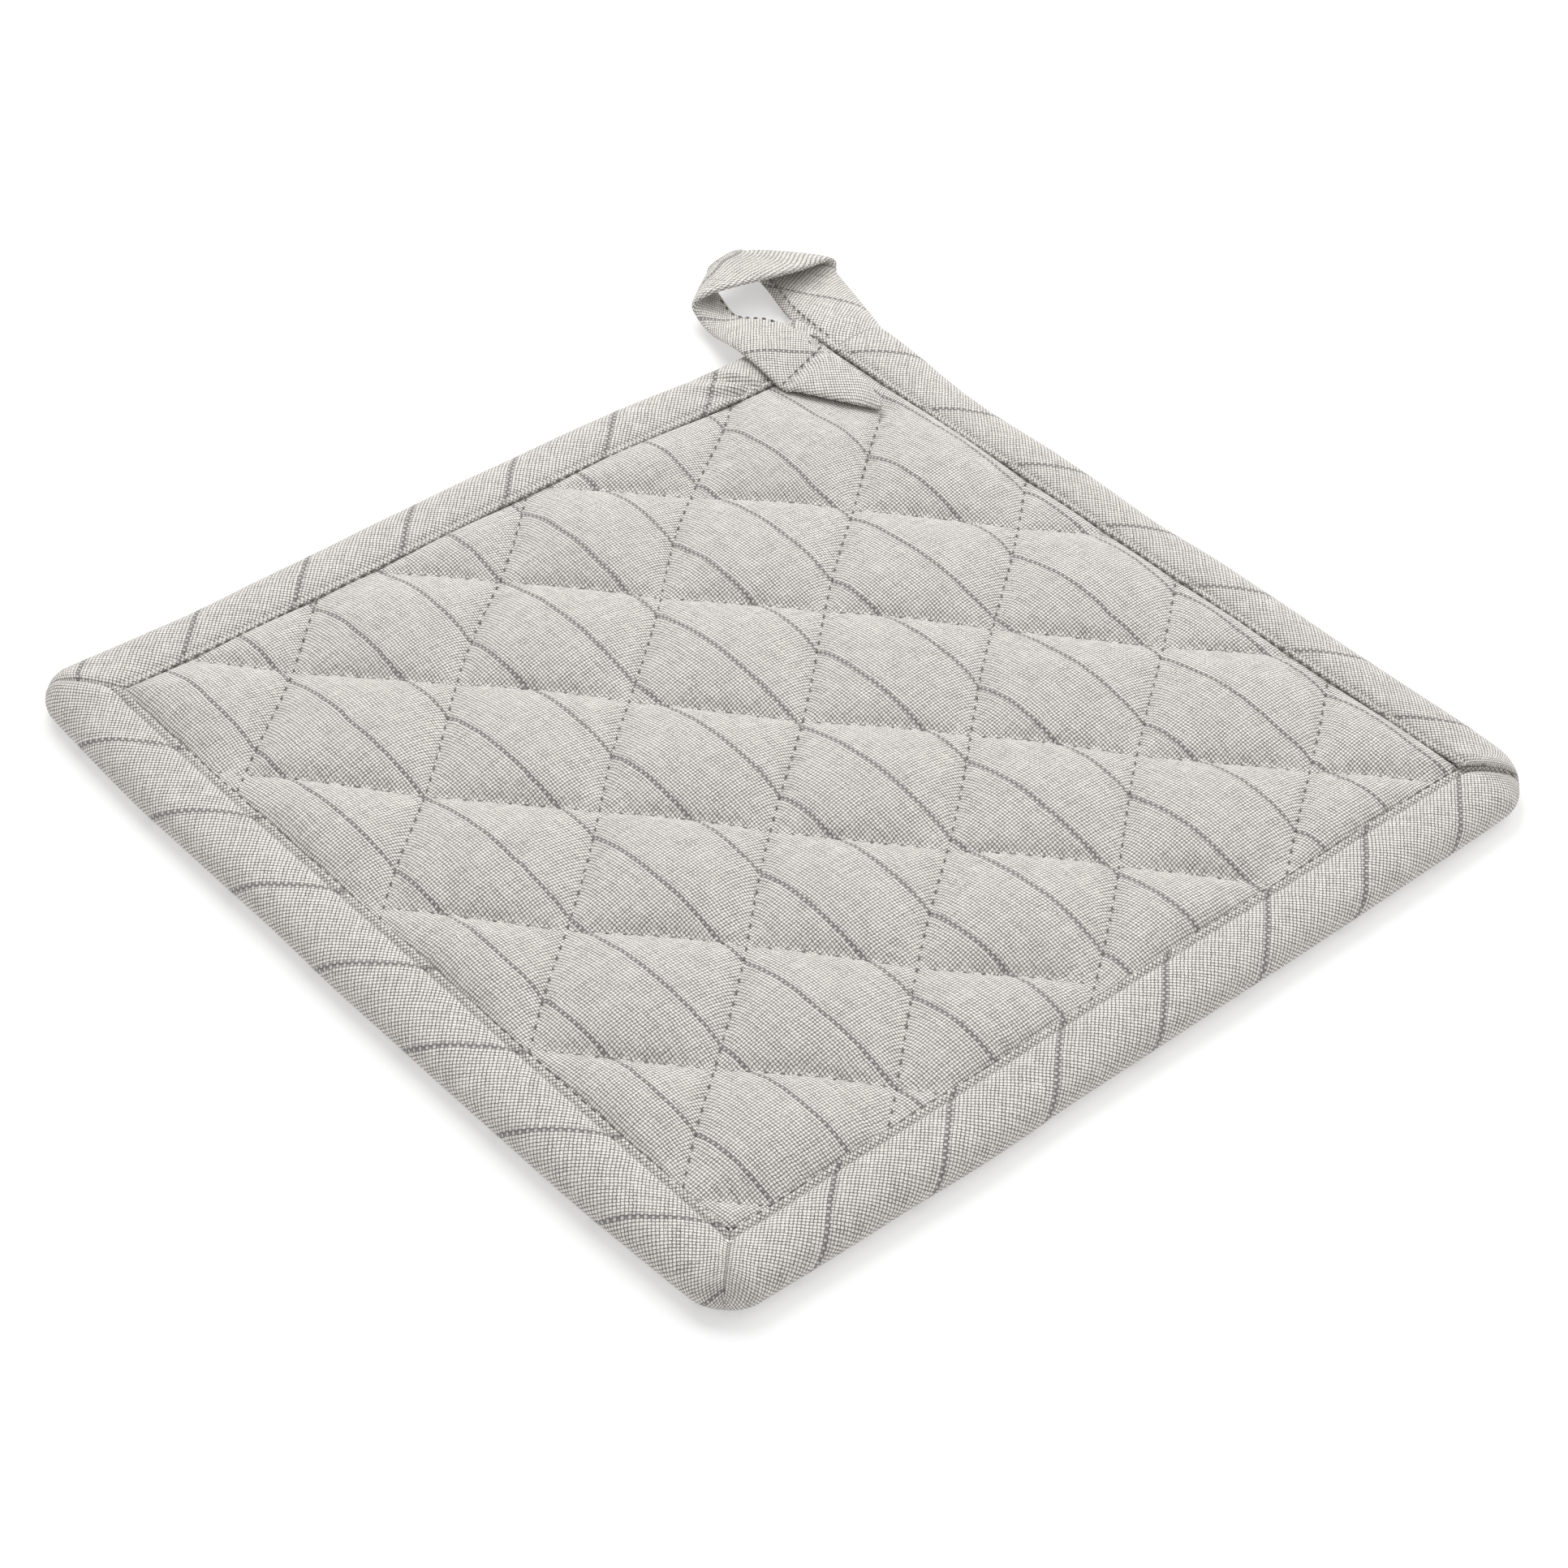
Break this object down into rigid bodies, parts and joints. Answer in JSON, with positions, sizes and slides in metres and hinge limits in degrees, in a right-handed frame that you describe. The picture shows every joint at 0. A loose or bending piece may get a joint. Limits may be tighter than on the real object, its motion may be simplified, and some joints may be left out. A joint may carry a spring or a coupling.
{
  "type": "quilted pot holder",
  "caption": "Square quilted cloth pot holder with a bound edge and a folded hanging loop at one corner; bends in half to grip.",
  "frame": {"origin": "middle of the square pad's underside, where it rests on a table", "axes": "+Z out of the quilted face, +X and +Y along the bound edges, with the hanging loop past the +Y edge at the +X corner"},
  "size_m": [0.23, 0.2476, 0.0113],
  "materials": {
    "face_cloth": "coarse plain weave, warm light grey with thin darker grey stripes",
    "back_cloth": "the same coarse plain weave as the face",
    "binding_cloth": "the same cloth cut on the bias, so its stripes cross the strip at 45 degrees",
    "wadding": "white fibre wadding",
    "quilting_thread": "matt spun sewing thread, grey",
    "binding_thread": "matt spun sewing thread, close to the cloth's colour"
  },
  "bodies": {
    "lower_half": {"back_panel_lower": "back_cloth", "binding_left_lower": "binding_cloth", "binding_right_lower": "binding_cloth", "binding_seam_lower": "binding_thread", "face_panel_lower": "face_cloth", "quilting_a3_lower": "quilting_thread", "quilting_a4_lower": "quilting_thread", "quilting_a5_lower": "quilting_thread", "quilting_a6_lower": "quilting_thread", "quilting_b3_lower": "quilting_thread", "quilting_b4_lower": "quilting_thread", "quilting_b5_lower": "quilting_thread", "wadding_lower": "wadding", "binding_bottom": "binding_cloth", "quilting_a1": "quilting_thread", "quilting_a2": "quilting_thread", "quilting_b6": "quilting_thread", "quilting_b7": "quilting_thread"},
    "upper_half": {"back_panel_upper": "back_cloth", "binding_left_upper": "binding_cloth", "binding_right_upper": "binding_cloth", "binding_seam_right": "binding_thread", "binding_seam_upper": "binding_thread", "binding_top": "binding_cloth", "face_panel_upper": "face_cloth", "loop_end": "binding_cloth", "loop_tack_seam": "binding_thread", "quilting_a3_upper": "quilting_thread", "quilting_a4_upper": "quilting_thread", "quilting_a5_upper": "quilting_thread", "quilting_a6_upper": "quilting_thread", "quilting_a7": "quilting_thread", "quilting_b1": "quilting_thread", "quilting_b2": "quilting_thread", "quilting_b3_upper": "quilting_thread", "quilting_b4_upper": "quilting_thread", "quilting_b5_upper": "quilting_thread", "wadding_upper": "wadding"},
    "loop": {"hanging_loop": "binding_cloth"}
  },
  "joints": [
    {"name": "fold", "type": "hinge", "parent": "lower_half", "child": "upper_half", "pos_m": [0, 0.005, 0.0116], "axis": [1, 0, 0], "range_deg": [0, 150], "stiffness_Nm_per_rad": 0.004},
    {"name": "loop_flex", "type": "hinge", "parent": "upper_half", "child": "loop", "pos_m": [0.092, 0.1112, 0.0108], "axis": [1, 0, 0], "range_deg": [-10, 130], "stiffness_Nm_per_rad": 0.0005}
  ]
}
